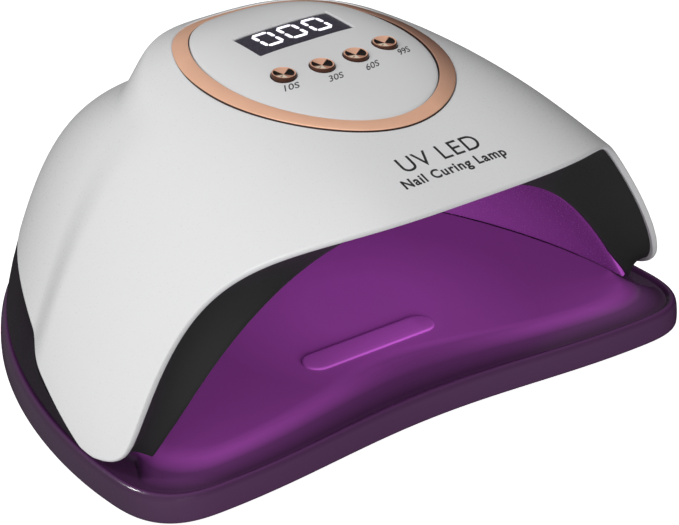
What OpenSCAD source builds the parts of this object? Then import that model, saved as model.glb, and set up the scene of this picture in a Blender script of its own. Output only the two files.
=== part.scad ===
// Nail curing lamp: an open-fronted dome housing that lifts off a base tray, with four
// timer buttons. Lengths are in millimetres. The origin is under the middle of the lamp,
// level with the table; +Z is up and the hand opening faces -Y.

/* [Overall] */
// Greatest half width of the base tray
tray_half_w = 112.3; // [105:0.1:118]
// Distance from the origin to the brim in front and to the tail behind
half_depth = 101.7; // [101:0.1:103]
// Greatest half width of the white housing
shell_half_w = 111.2; // [109:0.1:111.4]
// Height of the housing at its highest point
crown_z = 110.2; // [108:0.1:111.4]
// Height of the brim over the middle of the hand opening
brim_z = 90; // [88:0.1:92]
// Wall of the white housing
shell_t = 2.2; // [1.8:0.1:2.4]

/* [Hand opening] */
// Half width of the reflector at the floor
tunnel_half_w = 97; // [95:0.5:98]
// Height of the reflector above the floor at its mouth
tunnel_h = 63.2; // [58:0.1:65]
// Wall of the reflector
tunnel_t = 1.6; // [1.2:0.1:1.8]
// Length of the cavity behind its mouth
tunnel_depth = 143; // [130:1:145]

/* [Console] */
// Half width of the metal trim ring
ring_half_w = 41.9; // [40:0.1:43]
// Width of the trim band
ring_band = 5.4; // [5:0.1:7]
// Diameter of a timer button
button_d = 8.2; // [7.6:0.1:8.6]
// Button travel when pressed
button_travel = 0.7; // [0.4:0.1:0.8]
// Distance between neighbouring buttons
button_pitch = 13.5; // [12.5:0.1:14]
// Width of the display window
window_w = 37.4; // [34:0.1:38]
// Depth of the display window, front to back
window_d = 14.4; // [12:0.1:15]

/* [Base tray] */
// Thickness of the rubber feet
foot_h = 1.5; // [1.2:0.1:2]
// Height of the tray's rim above the table
rim_z = 11.4; // [11:0.1:11.5]
// Height of the tray's floor above the table
floor_z = 14.6; // [14:0.1:14.8]

/* [Display] */
// Sub-part to draw

/* [Hidden] */
$fn = 48;

// Plan and profile of the housing
widest_y = -55.3;   // depth at which the plan is widest
ridge_y = 6;        // depth of the highest point
skirt_z = 12.5;     // height to which the housing's face runs down
foot_tip_z = 14;    // height of the front feet, where the visor starts
gap = 0.5;          // clearance between neighbouring shell parts

// Console
ring_centre_y = -18;
ring_front = 50;
ring_rear = 52.1;
console_tilt = 4;
console_pos = [0, ring_centre_y, crown_z + 0.3];
panel_t = 2.4;
panel_rise = 1.8;   // how far the console's face bulges above the housing's line
cap_proud = 1.1;    // how far a button stands above its seat
window_y = 10.8;    // window's middle, from the console's middle

// Boards: the control board hangs under the console, the driver board stands on spacers
board_t = 1.6;
board_top = -9;
driver_z = 84.5;

// Vent slots through the tail of the housing
vent_w = 2.6;
vent_h = 15;
vent_z = 56;
vent_pitch = 7.5;

// Lower frame and power socket
frame_inset = 2.3;
frame_t = 2.4;
flange_w = 14;
flange_t = 2.8;
socket_z = 22;

foot_pos = [[84, -66], [-84, -66], [58, 58], [-58, 58]];
magnet_pos = [[100, -20], [-100, -20], [55, 67.4], [-55, 67.4]];
screw_pos = [[100.3, -30], [-100.3, -30], [86.7, 12], [-86.7, 12]];
standoff_pos = [[32, -26], [-32, -26], [32, 26], [-32, 26]];
panel_boss_pos = [[25.5, -16.5], [-25.5, -16.5], [25.5, 18.5], [-25.5, 18.5]];
led_spots = [
    for (x = [-24, 0, 24]) for (y = [-46, -14, 18]) [x, y],
    for (x = [-58, 58]) for (y = [-42, -12, 16]) [x, y],
    for (x = [-72, 72]) for (y = [-8, 15]) [x, y],
    [-24, 44],
    [24, 44]
];

// ---- shape functions ----

function clamp(v, low = 0, high = 1) = min(max(v, low), high);

function smooth(v) = clamp(v) * clamp(v) * (3 - 2 * clamp(v));

// Half width of the plan outline at depth y, for a greatest half width w
function half_width(y, w, tail = half_depth) =
    w * sqrt(max(0, 1 - pow(clamp((y - widest_y) / (tail - widest_y)), 1.8)));

// Height of the housing over its centre line
function crown(y) =
    y < ridge_y ? crown_z - (crown_z - brim_z) * pow((ridge_y - y) / (half_depth + ridge_y), 2)
                : let (t = (y - ridge_y) / (half_depth - ridge_y))
                  skirt_z + (crown_z - skirt_z) * pow(max(0, 1 - pow(t, 1.75)), 0.51);

// The raised cap around the console drops to the flank across a soft shoulder
function shoulder_r(a) = 52.7 + 4.3 * pow(sin(a), 2);

function shoulder_drop(x, y) =
    let (a = atan2(y - ring_centre_y, abs(x)), r = norm([x, y - ring_centre_y]))
    14.6 * smooth((a + 2) / 66) * smooth((r - shoulder_r(a)) / 10.5);

// Share of the height reached at u of the half width; the front flank is fuller than the rear
function section(u, y) =
    pow(1 - pow(u, 3.4), 1.12) + 0.65 * smooth((10 - y) / 20) * pow(u, 7) * sqrt(1 - u);

// Height of the housing's outer face; inset moves the face inwards
function shell_z(x, y, inset = 0) =
    let (w = half_width(y, shell_half_w - inset, half_depth - inset))
    let (u = w < 0.01 ? 1 : clamp(abs(x) / w))
    let (rise = max(0, crown(y) - inset - shoulder_drop(x, y) * (1 - u * u) - skirt_z))
    skirt_z + rise * section(u, y);

// Front edge of the housing in side view: a visor that leans forward as it rises
function visor_y(z) =
    let (s = clamp((z - foot_tip_z) / (brim_z - foot_tip_z), 0, 1.1))
    -56.9 - 11.8 * (1 - exp(-s / 0.07)) - 33 * pow(s, 6);

// Lower edge of the housing: low at the feet, higher towards the tail
function hem_z(y) = 12.6 + 18.6 * sin(90 * clamp((y + 42) / 90));

// Positive where the housing exists, with a rounded corner where the two edges meet
function trim(x, y, z) =
    let (a = y - visor_y(z), b = z - hem_z(y), k = 9)
    let (h = clamp(0.5 + 0.5 * (b - a) / k))
    a * h + b * (1 - h) - k * h * (1 - h);

// Ovoid of the console at angle a
function ovoid_r(a, grow = 0) =
    let (l = (sin(a) < 0 ? ring_front : ring_rear) + grow, w = ring_half_w + grow)
    1 / sqrt(pow(cos(a) / w, 2) + pow(sin(a) / l, 2));

function ovoid(grow = 0, n = 72) = [
    for (k = [0:n - 1]) let (a = 360 * k / n)
        [ovoid_r(a, grow) * cos(a), ring_centre_y + ovoid_r(a, grow) * sin(a)]
];

// ---- housing grid ----

function on_shell(a, r, inset) =
    let (x = r * cos(a), y = ring_centre_y + r * sin(a))
    [x, y, shell_z(x, y, inset)];

// Distance along direction a at which the plan outline is crossed
function outline_r(a, inset, low = 30, high = 170, n = 26) =
    n == 0 ? low :
    let (r = (low + high) / 2, y = ring_centre_y + r * sin(a))
    let (inside = r * abs(cos(a)) < half_width(y, shell_half_w - inset, half_depth - inset)
                  && y < half_depth - inset)
    inside ? outline_r(a, inset, r, high, n - 1) : outline_r(a, inset, low, r, n - 1);

function swept_r(a, v, inset, full) =
    let (start = ovoid_r(a, gap)) start + (full - start) * sin(90 * v);

// Fraction of the way to the outline at which the housing is trimmed
function trim_v(a, inset, full, low = 0, high = 1, n = 22) =
    n == 0 ? low :
    let (v = (low + high) / 2, p = on_shell(a, swept_r(a, v, inset, full), inset))
    trim(p.x, p.y, p.z) > 0 ? trim_v(a, inset, full, v, high, n - 1)
                            : trim_v(a, inset, full, low, v, n - 1);

function shell_column(a, inset, rows) =
    let (full = outline_r(a, inset), stop = trim_v(a, inset, full))
    [for (i = [0:rows]) on_shell(a, swept_r(a, stop * i / rows, inset, full), inset)];

function turned(m) = [for (j = [0:len(m[0]) - 1]) [for (i = [0:len(m) - 1]) m[i][j]]];

function shell_grid(inset, rows = 16, cols = 88) =
    turned([for (k = [0:cols - 1]) shell_column(360 * k / cols, inset, rows)]);

// ---- solids from grids ----

function flat(m) = [for (row = m) each row];

function quad(a, b, c, d) = [[a, b, c], [a, c, d]];

// Closes the space between two grids of points; loop joins the last column to the first
module between(top, bottom, loop = false) {
    n = len(top);
    m = len(top[0]);
    off = n * m;
    last = loop ? m - 1 : m - 2;
    faces = [
        for (i = [0:n - 2]) for (j = [0:last])
            let (k = (j + 1) % m, a = i * m + j, b = i * m + k, c = a + m, d = b + m)
            each concat(quad(a, b, d, c), quad(off + c, off + d, off + b, off + a)),
        for (j = [0:last]) let (k = (j + 1) % m, e = (n - 1) * m)
            each concat(quad(k, j, off + j, off + k),
                        quad(e + j, e + k, off + e + k, off + e + j)),
        if (!loop) for (i = [0:n - 2]) let (a = i * m, b = a + m, c = a + m - 1, d = c + m)
            each concat(quad(a, b, off + b, off + a), quad(d, c, off + c, off + d))
    ];
    polyhedron(points = concat(flat(top), flat(bottom)), faces = faces, convexity = 8);
}

// A stack of closed rings with a flat cap on each end
module stacked(rings) {
    n = len(rings);
    m = len(rings[0]);
    faces = [
        [for (j = [0:m - 1]) j],
        for (i = [0:n - 2]) for (j = [0:m - 1])
            let (k = (j + 1) % m, a = i * m + j, b = i * m + k)
            each quad(b, a, a + m, b + m),
        [for (j = [m - 1:-1:0]) (n - 1) * m + j]
    ];
    polyhedron(points = flat(rings), faces = faces, convexity = 6);
}

// ---- tray outline ----

function tray_front(x) = -80.3 - 2.7 * (1 - cos(180 * x / 84));

// Right half of the plan outline, from the middle of the front to the tail
tray_half = [
    for (k = [0:9]) let (x = 84 * k / 10) [x, tray_front(x)],
    for (k = [0:9]) let (a = 9 * k)
        [84 + (tray_half_w - 84) * pow(sin(a), 2 / 3.1), widest_y - 30.4 * pow(cos(a), 2 / 3.1)],
    for (k = [0:25]) let (y = widest_y + (half_depth - widest_y) * sin(90 * k / 26))
        [half_width(y, tray_half_w), y]
];
tray_outline = concat(
    tray_half,
    [[0, half_depth]],
    [for (k = [len(tray_half) - 1:-1:1]) [-tray_half[k].x, tray_half[k].y]]
);
tray_middle = [0, -5];

function inward(p, d) = let (v = p - tray_middle) tray_middle + v * (1 - d / norm(v));

// 1 along the open front of the tray, 0 along the sides and tail
function frontness(p) = smooth((-62 - p.y) / 12);

function tray_ring(d, z) = [for (p = tray_outline) let (q = inward(p, d)) [q.x, q.y, z]];

// The floor rolls up gently at the front and steeply under the housing
function floor_ring(t) = [
    for (p = tray_outline)
        let (f = frontness(p), start = 13.5 + (4.4 - 13.5) * f, run = 4 + 18 * f)
        let (q = inward(p, start + run * t), base = 9.9)
        [q.x, q.y, base + (floor_z - base) * sin(90 * t)]
];

// ---- placing ----

module on_console(x = 0, y = 0) {
    translate(console_pos) rotate([console_tilt, 0, 0]) translate([x, y, 0]) children();
}

// The power socket's axis, starting at depth y
module along_y(y) {
    translate([0, y, socket_z]) rotate([-90, 0, 0]) children();
}

function button_x(i) = (i - 1.5) * button_pitch;

function button_y(i) = abs(i - 1.5) > 1 ? -10.6 : -12.8;

function button_seat(i) = abs(i - 1.5) > 1 ? -0.4 : 0;

module at_button(i) {
    on_console(button_x(i), button_y(i)) translate([0, 0, button_seat(i)]) children();
}

// Liner of the hand cavity; grow thickens it outwards
function tunnel_w(y, grow) =
    (tunnel_half_w + grow) * sqrt(max(0, 1 - pow(clamp((y + 55) / (132 + grow)), 1.8)));

function tunnel_z(x, y, grow = 0) =
    let (w = tunnel_w(y, grow), u = w < 0.01 ? 1 : clamp(abs(x) / w))
    let (t = clamp((y + 66) / (tunnel_depth + grow)))
    floor_z + 0.6 + (tunnel_h + grow - 1.7) * pow(1 - pow(t, 2.6), 0.8) * pow(1 - pow(u, 2.7), 1.05);

function mouth_y(x) = -75.8 + 13.2 * pow(abs(x) / 94, 1.6);

function tunnel_grid(grow, rows = 14, cols = 40) = [
    for (i = [0:rows]) let (t = sin(88 * i / rows))
        [for (j = [0:cols]) let (s = sin(-90 + 180 * j / cols))
            let (x0 = s * tunnel_half_w, y0 = mouth_y(x0))
            let (y = y0 + (tunnel_depth - 66 - y0 + grow) * t * 0.985)
            let (x = s * tunnel_w(y, grow))
            [x, y, tunnel_z(x, y, grow)]]
];

// Direction out of the liner, away from the hand
function tunnel_normal(x, y) =
    let (e = 0.5)
    let (n = [tunnel_z(x - e, y) - tunnel_z(x + e, y), tunnel_z(x, y - e) - tunnel_z(x, y + e), 2 * e])
    n / norm(n);

module on_tunnel(spot) {
    n = tunnel_normal(spot.x, spot.y);
    translate([spot.x, spot.y, tunnel_z(spot.x, spot.y)])
        rotate([0, acos(n.z), atan2(n.y, n.x)]) children();
}

// ---- base ----

module base_tray() {
    color([0.36, 0.14, 0.38]) difference() {
        union() {
            stacked([
                tray_ring(1.6, foot_h),
                tray_ring(0.5, foot_h + 0.5),
                tray_ring(0.15, foot_h + 1.6),
                tray_ring(0, foot_h + 4.5),
                tray_ring(0.5, rim_z - 1.6),
                tray_ring(1.4, rim_z - 0.4),
                tray_ring(2.4, rim_z - 0.1),
                tray_ring(3.4, rim_z - 0.9),
                tray_ring(4, 9.9),
                for (t = [0, 0.12, 0.25, 0.4, 0.6, 0.8, 1]) floor_ring(t)
            ]);
            finger_bar();
        }
        for (p = magnet_pos) translate([p.x, p.y, 0]) cylinder(d = 8.4, h = 8.8);
    }
}

module finger_bar() {
    translate([0, -46.5, 10]) linear_extrude(floor_z + 1.1 - 10)
        hull() for (x = [-21, 21]) translate([x, 0]) circle(d = 10.4, $fn = 32);
}

module rubber_feet() {
    color([0.1, 0.1, 0.1]) for (p = foot_pos)
        translate([p.x, p.y, 0]) cylinder(d1 = 10, d2 = 11, h = foot_h);
}

module tray_magnets() {
    color([0.7, 0.7, 0.72]) for (p = magnet_pos)
        translate([p.x, p.y, 5.4]) cylinder(d = 8, h = 3.2);
}

// ---- housing ----

module top_shell() {
    color([0.86, 0.86, 0.86]) difference() {
        union() {
            between(shell_grid(0), shell_grid(shell_t), true);
            for (p = screw_pos) translate([p.x, p.y, rim_z + 3.6])
                cylinder(d = 5.4, h = shell_z(abs(p.x) + 3, p.y) - rim_z - 4.4);
        }
        for (p = screw_pos) translate([p.x, p.y, rim_z]) cylinder(d = 3, h = 10);
        for (k = [-4:4]) translate([k * vent_pitch - vent_w / 2, 60, vent_z]) cube([vent_w, 45, vent_h]);
    }
}

// Plan line of the lower frame, from the right foot round the tail to the left foot
frame_front = -38.5;
frame_side = [
    for (k = [0:25]) let (y = frame_front + (half_depth - frame_front) * sin(90 * k / 26))
        [half_width(y, tray_half_w), y]
];
frame_path = concat(
    frame_side,
    [[0, half_depth]],
    [for (k = [25:-1:0]) [-frame_side[k].x, frame_side[k].y]]
);

// Inset from the tray's outline at which the housing's outer face meets its lower edge
function hem_inset(p, low = 1.5, high = 32, n = 16) =
    let (d = (low + high) / 2, q = inward(p, d))
    n == 0 ? d :
    shell_z(q.x, q.y) > hem_z(q.y) ? hem_inset(p, low, d, n - 1) : hem_inset(p, d, high, n - 1);

// One line of the frame's section: inset at the foot, part of the lean towards the housing's
// edge, height of the step it starts from, and share of the height left above that step
function frame_row(inset, lean, step, share) = [
    for (p = frame_path)
        let (q = inward(p, inset + lean * max(0, hem_inset(p) - frame_inset)))
        let (low = rim_z + 0.4, high = hem_z(q.y) - gap)
        let (start = low + min(step, 0.8 * (high - low)))
        [q.x, q.y, start + (high - start) * share]
];

module lower_frame() {
    inside = frame_inset + frame_t;
    color([0.13, 0.1, 0.14]) difference() {
        between(
            [
                frame_row(flange_w, 0, flange_t, 0),
                frame_row(inside, 0, flange_t, 0),
                frame_row(inside, 0.3, flange_t, 0.3),
                frame_row(inside, 0.7, flange_t, 0.7),
                frame_row(inside, 1, flange_t, 1)
            ],
            [
                frame_row(flange_w, 0, 0, 0),
                frame_row(frame_inset + 0.6, 0, 0, 0),
                frame_row(frame_inset, 0, 0.3, 0),
                frame_row(frame_inset, 0.4, 0, 0.55),
                frame_row(frame_inset, 1, 0, 1)
            ]
        );
        for (p = screw_pos) translate([p.x, p.y, rim_z]) {
            cylinder(d = 3.4, h = 20);
            cylinder(d = 6, h = 2);
        }
        for (p = magnet_pos) translate([p.x, p.y, rim_z]) cylinder(d = 7.8, h = 1.5);
        along_y(85) cylinder(d = 9, h = 40);
    }
}

// Outer edge of the bezel, just inside the housing and set back from its edge
function bezel_out(s, low = -108, high = -45, n = 24) =
    let (x = s * (shell_half_w - shell_t - 2.8), y = (low + high) / 2)
    let (z = shell_z(x, y, shell_t + 2.2))
    n == 0 ? [x, y, z] :
    y > visor_y(z) + 2.6 ? bezel_out(s, low, y, n - 1) : bezel_out(s, y, high, n - 1);

function bezel_in(s) =
    let (x = s * tunnel_half_w, y = mouth_y(x) - 2.2)
    [x, y, tunnel_z(x, -66, 0.4)];

function bezel_grid(shift, rows = 4, cols = 60) = turned([
    for (j = [0:cols]) let (s = sin(-88 + 176 * j / cols), a = bezel_out(s), b = bezel_in(s))
        [for (i = [0:rows]) a + (b - a) * i / rows + shift]
]);

module front_bezel() {
    color([0.15, 0.15, 0.15]) between(bezel_grid([0, 0, 0]), bezel_grid([0, 1.5, 1.2]));
}

module reflector() {
    color([0.45, 0.2, 0.48]) difference() {
        between(tunnel_grid(0), tunnel_grid(tunnel_t));
        for (p = led_spots) on_tunnel(p) translate([0, 0, -8]) cylinder(d = 6.6, h = 20);
        translate([0, -60, 60]) cylinder(d = 6, h = 30);
    }
}

// ---- console ----

function ring_row(grow, lift) = [
    for (p = ovoid(grow)) [p.x, p.y, shell_z(p.x, p.y) + lift]
];

module trim_ring() {
    inner = -ring_band;
    color([0.83, 0.6, 0.5]) between(
        [
            ring_row(-0.2, -2.4),
            ring_row(-0.9, -2.3),
            ring_row(-1.6, -2.2),
            ring_row(-ring_band / 2, -2.1),
            ring_row(inner + 1.6, -2.2),
            ring_row(inner + 0.9, -2.3),
            ring_row(inner + 0.2, -2.4)
        ],
        [
            ring_row(0, -1.2),
            ring_row(0, 0.2),
            ring_row(-0.6, 0.55),
            ring_row(-ring_band / 2, 0.7),
            ring_row(inner + 0.6, 0.55),
            ring_row(inner, 0.2),
            ring_row(inner, -1.2)
        ],
        true
    );
}

function panel_row(scale, grow, lift) = [
    for (p = ovoid(grow)) let (x = p.x * scale, y = ring_centre_y + (p.y - ring_centre_y) * scale)
        [x, y, shell_z(x, y) + panel_rise * (1 - pow(scale, 4)) + lift]
];

module control_panel() {
    edge = -ring_band - gap;
    color([0.85, 0.85, 0.85]) difference() {
        union() {
            stacked([
                for (s = [0.02, 0.2, 0.4, 0.6, 0.8, 1]) panel_row(s, edge, -panel_t),
                for (s = [1, 0.98, 0.8, 0.6, 0.4, 0.2, 0.02]) panel_row(s, edge, s == 1 ? -0.5 : 0)
            ]);
            for (p = panel_boss_pos) on_console(p.x, p.y) translate([0, 0, board_top + 0.1])
                cylinder(d = 5, h = -2.6 - board_top);
        }
        for (p = panel_boss_pos) on_console(p.x, p.y) translate([0, 0, board_top - 1])
            cylinder(d = 2.6, h = 5);
        for (i = [0:3]) at_button(i) translate([0, 0, -8]) cylinder(d = button_d + 0.4, h = 16);
        on_console(-window_w / 2 - 0.2, window_y - window_d / 2 - 0.2)
            translate([0, 0, -8]) cube([window_w + 0.4, window_d + 0.4, 16]);
    }
}

module display_window() {
    color([0.2, 0.2, 0.22]) on_console(-window_w / 2, window_y - window_d / 2)
        translate([0, 0, -1.3]) cube([window_w, window_d, 1.5]);
}

// Bars of one seven-segment zero, drawn as slim raised strips
module digit_zero() {
    for (y = [-3.8, 3.8]) translate([-2.2, y - 0.6, 0]) cube([4.4, 1.2, 0.2]);
    for (x = [-3.4, 2.2]) for (y = [-3.5, 0.3]) translate([x, y, 0]) cube([1.2, 3.2, 0.2]);
}

module display_digits() {
    color([0.95, 0.97, 1]) for (x = [-9.65, 0, 9.65])
        on_console(x + 0.4, window_y + 1.2) translate([0, 0, 0.22]) digit_zero();
}

module display_module() {
    color([0.12, 0.12, 0.13]) on_console(-17.5, window_y - 6.6) translate([0, 0, board_top + 0.05])
        cube([35, 13.2, -1.5 - board_top]);
}

module control_board() {
    color([0.1, 0.35, 0.2]) on_console(0, 0) difference() {
        translate([-29, -20, board_top - board_t]) cube([58, 42, board_t]);
        for (p = panel_boss_pos) translate([p.x, p.y, board_top - board_t - 1])
            cylinder(d = 3.2, h = board_t + 2);
    }
}

// Tact switches: a square body with an open well for the button's stem
module tact_switches() {
    color([0.2, 0.2, 0.2]) for (i = [0:3]) on_console(button_x(i), button_y(i)) difference() {
        translate([-3, -3, board_top + 0.05]) cube([6, 6, 3.1]);
        translate([0, 0, board_top + 1]) cylinder(d = 4, h = 6);
    }
}

module board_screws() {
    color([0.75, 0.75, 0.77]) for (p = panel_boss_pos) on_console(p.x, p.y)
        translate([0, 0, board_top - board_t]) {
            cylinder(d = 2.5, h = 5);
            translate([0, 0, -1.65]) cylinder(d = 5, h = 1.6);
            translate([0, 0, -0.2]) cylinder(d = 2.5, h = 1);
        }
}

// Spacers that carry the driver board above the reflector
module board_standoffs() {
    color([0.75, 0.72, 0.55]) for (p = standoff_pos) {
        foot = tunnel_z(abs(p.x) - 3, p.y - 3, tunnel_t) + 0.2;
        translate([p.x, p.y, foot]) cylinder(d = 6, h = driver_z - 0.1 - foot, $fn = 30);
    }
}

// ---- lamps and electronics ----

module led_beads() {
    color([0.95, 0.9, 0.6]) for (p = led_spots) on_tunnel(p) {
        translate([0, 0, -1]) cylinder(d = 5.6, h = 4);
        translate([0, 0, -2]) cylinder(d1 = 3.2, d2 = 5.6, h = 1);
    }
}

module led_boards() {
    color([0.8, 0.8, 0.8]) for (p = led_spots) on_tunnel(p)
        translate([0, 0, 3.1]) cylinder(d = 11, h = 1.2);
}

module ir_sensor() {
    color([0.08, 0.08, 0.1]) {
        translate([0, -60, 73.5]) cylinder(d = 5, h = 9);
        translate([0, -60, 82.4]) cylinder(d = 9, h = 1.2);
    }
}

module driver_board() {
    color([0.12, 0.33, 0.2]) translate([-36, -30, driver_z]) cube([72, 60, board_t]);
}

module driver_components() {
    z = driver_z + board_t + 0.05;
    color([0.25, 0.25, 0.3]) {
        for (p = [[-24, 18], [-12, 20], [26, -20]]) translate([p.x, p.y, z]) cylinder(d = 8, h = 8);
        translate([4, 8, z]) cylinder(d = 13, h = 6);
        for (x = [-28, -16, -4]) translate([x, -24, z]) cube([8, 5, 3]);
        translate([18, 6, z]) cube([12, 16, 7]);
    }
}

module dc_socket() {
    color([0.1, 0.1, 0.1]) {
        difference() {
            union() {
                translate([-4.8, 80, socket_z - 5.4]) cube([9.6, 11.4, 10.8]);
                along_y(91) cylinder(d = 8.6, h = 7.2);
            }
            along_y(88.5) cylinder(d = 5.6, h = 20);
        }
        along_y(87.5) cylinder(d = 2.1, h = 9.5);
    }
}

module shell_screws() {
    color([0.7, 0.7, 0.72]) for (p = screw_pos) {
        translate([p.x, p.y, rim_z + 0.8]) cylinder(d = 5.6, h = 1.15);
        translate([p.x, p.y, rim_z + 1.8]) cylinder(d = 2.9, h = 7);
    }
}

module strike_plates() {
    color([0.72, 0.72, 0.74]) for (p = magnet_pos)
        translate([p.x, p.y, rim_z + 0.5]) cylinder(d = 7.4, h = 0.9);
}

// A round lead running through a list of points
module lead(path, d = 1.6) {
    for (k = [0:len(path) - 2]) {
        v = path[k + 1] - path[k];
        translate(path[k]) rotate([0, acos(v.z / norm(v)), atan2(v.y, v.x)])
            cylinder(d = d, h = norm(v), $fn = 24);
        translate(path[k + 1]) sphere(d = d * 1.25, $fn = 24);
    }
}

module wire_harness() {
    color([0.6, 0.1, 0.1]) {
        lead([
            [8, 31.2, 86], [8, 46, 77], [3, 62, 58],
            [2.4, 77.6, 34], [2.4, 77.8, socket_z + 1], [2.4, 78.9, socket_z + 1]
        ]);
        lead([
            [0, 31.2, 86], [0, 44, 77], [-4, 60, 58],
            [-2.4, 77.6, 34], [-2.4, 77.8, socket_z - 1], [-2.4, 78.9, socket_z - 1]
        ]);
    }
}

// ---- buttons ----

module button_cap(i) {
    color([0.83, 0.58, 0.46]) at_button(i) difference() {
        union() {
            translate([0, 0, -1.2]) cylinder(d = button_d, h = 1.2 + cap_proud - 0.5);
            translate([0, 0, cap_proud - 0.5]) cylinder(d1 = button_d, d2 = button_d - 0.9, h = 0.5);
        }
        translate([0, 0, cap_proud + 11.4]) sphere(d = 24, $fn = 72);
    }
}

module button_stem(i) {
    drop = -button_seat(i);
    color([0.2, 0.2, 0.2]) at_button(i) {
        translate([0, 0, -2.4]) cylinder(d = button_d - 0.6, h = 1.15);
        translate([0, 0, -4.4]) cylinder(d = button_d + 1.6, h = 0.9);
        translate([0, 0, -3.6]) cylinder(d = button_d - 0.6, h = 1.3);
        translate([0, 0, board_top + 2 + drop]) cylinder(d = 3, h = 3.1 - drop + 0.1);
    }
}

base_tray();
rubber_feet();
tray_magnets();
top_shell();
lower_frame();
front_bezel();
reflector();
trim_ring();
control_panel();
display_window();
display_digits();
display_module();
control_board();
tact_switches();
board_standoffs();
board_screws();
led_beads();
led_boards();
ir_sensor();
driver_board();
driver_components();
dc_socket();
shell_screws();
strike_plates();
wire_harness();
button_cap(0);  // button_cap_10s
button_cap(1);  // button_cap_30s
button_cap(2);  // button_cap_60s
button_cap(3);  // button_cap_99s
button_stem(0);  // button_stem_10s
button_stem(1);  // button_stem_30s
button_stem(2);  // button_stem_60s
button_stem(3);  // button_stem_99s
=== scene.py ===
"""Nail curing lamp: the visual model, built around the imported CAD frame.

Shapes are worked out in millimetres, along the frame's own axes, and become metres when they
turn into meshes. +Z is up and the hand opening faces -Y.
"""

import math

import bmesh
import bpy
import numpy as np
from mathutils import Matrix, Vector


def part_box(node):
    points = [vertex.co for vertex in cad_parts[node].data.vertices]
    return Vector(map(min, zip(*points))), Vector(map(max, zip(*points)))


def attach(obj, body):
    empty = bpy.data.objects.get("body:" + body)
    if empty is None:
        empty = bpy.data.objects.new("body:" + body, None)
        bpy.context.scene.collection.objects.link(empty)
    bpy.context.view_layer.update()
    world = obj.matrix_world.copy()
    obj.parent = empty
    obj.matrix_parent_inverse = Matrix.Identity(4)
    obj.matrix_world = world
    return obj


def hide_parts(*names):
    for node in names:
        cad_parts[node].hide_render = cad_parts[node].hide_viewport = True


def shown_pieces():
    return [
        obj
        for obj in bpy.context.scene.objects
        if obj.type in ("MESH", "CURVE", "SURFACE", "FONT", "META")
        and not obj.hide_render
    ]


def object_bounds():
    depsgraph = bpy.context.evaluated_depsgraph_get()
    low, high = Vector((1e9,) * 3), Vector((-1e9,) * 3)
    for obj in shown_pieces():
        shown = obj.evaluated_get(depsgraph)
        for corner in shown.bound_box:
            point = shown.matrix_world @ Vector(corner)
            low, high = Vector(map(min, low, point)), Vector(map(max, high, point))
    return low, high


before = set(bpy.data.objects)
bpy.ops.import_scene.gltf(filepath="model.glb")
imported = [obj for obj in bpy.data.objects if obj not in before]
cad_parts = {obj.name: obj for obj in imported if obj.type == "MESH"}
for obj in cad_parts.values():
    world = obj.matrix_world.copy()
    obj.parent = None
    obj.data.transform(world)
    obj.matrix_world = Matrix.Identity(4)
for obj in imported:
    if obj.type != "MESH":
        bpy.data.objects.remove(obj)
cad_low, cad_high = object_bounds()

MM = 0.001


def mm_box(node):
    """Lowest and highest corner of a CAD node, in millimetres."""
    low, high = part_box(node)
    return np.array(low) / MM, np.array(high) / MM


# ---- driving dimensions ----

TRAY_LOW, TRAY_HIGH = mm_box("base_tray")
WINDOW_LOW, WINDOW_HIGH = mm_box("display_window")
SOCKET_LOW, SOCKET_HIGH = mm_box("dc_socket")

# Base tray
TRAY_W = TRAY_HIGH[0]          # half width of the tray
TAIL_Y = TRAY_HIGH[1]          # rear of the lamp, and the reach of the brim in front
TRAY_MIDDLE = (0.0, -5.0)      # tray outlines are drawn in towards this point
FINGER_BAR_H = 1.1             # height of the finger bar over the floor
FINGER_BAR_Y = -46.5
FLOOR_Z = TRAY_HIGH[2] - FINGER_BAR_H
TRAY_FOOT_Z = TRAY_LOW[2]
RIM_Z = 11.4
PAINTED_LIGHT_CENTRE = (15.0, -25.0)     # centre of the pool of light painted on the tray's floor; the floor is painted darker away from it

# Housing
SHELL_W = 111.2                # half width of the housing
WIDEST_Y = -55.3               # depth at which the plan is widest
RIDGE_Y = 6.0                  # depth of the highest point
CROWN_Z = 110.2                # height of the highest point
BRIM_Z = 90.0                  # height of the brim over the middle of the opening
SKIRT_Z = 12.5                 # height to which the housing's face runs down
FOOT_TIP_Z = 14.0              # height of the front feet, where the visor starts
WALL = 2.2
GAP = 0.5                      # clearance between the housing and the lower frame
VENT_PITCH = 7.5
VENT_SPAN = 30.0               # place of the outermost vent slots
VENT_R = 1.3                   # half width of a slot, which is the radius of its round ends
VENT_HALF = 5.2                # half length of a slot between its round ends
VENT_Z = 62.5

# Lower frame, and bezel round the mouth
FRAME_INSET = 2.3              # distance of the frame from the tray's outline
FRAME_T = 2.4
FLANGE_W = 14.0                # reach of the frame's flange from the tray's outline
SOCKET_HOLE_R = 4.5
BEZEL_INSET = 1.4              # where the bezel's outer edge lies in the housing's wall
BEZEL_BEHIND = 1.5             # how far that edge lies behind the housing's front edge
BEZEL_T = 1.6

# Hand cavity
TUNNEL_W = 97.0                # half width of the liner
TUNNEL_H = 61.5                # height of the liner at its mouth
TUNNEL_START = -66.0           # depth at which its roof starts to fall towards the rear
TUNNEL_DEPTH = 143.0           # distance from there to the liner's rear end
TUNNEL_T = 1.6
LENS_R = 2.3
COLLAR_R = 3.2

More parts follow.
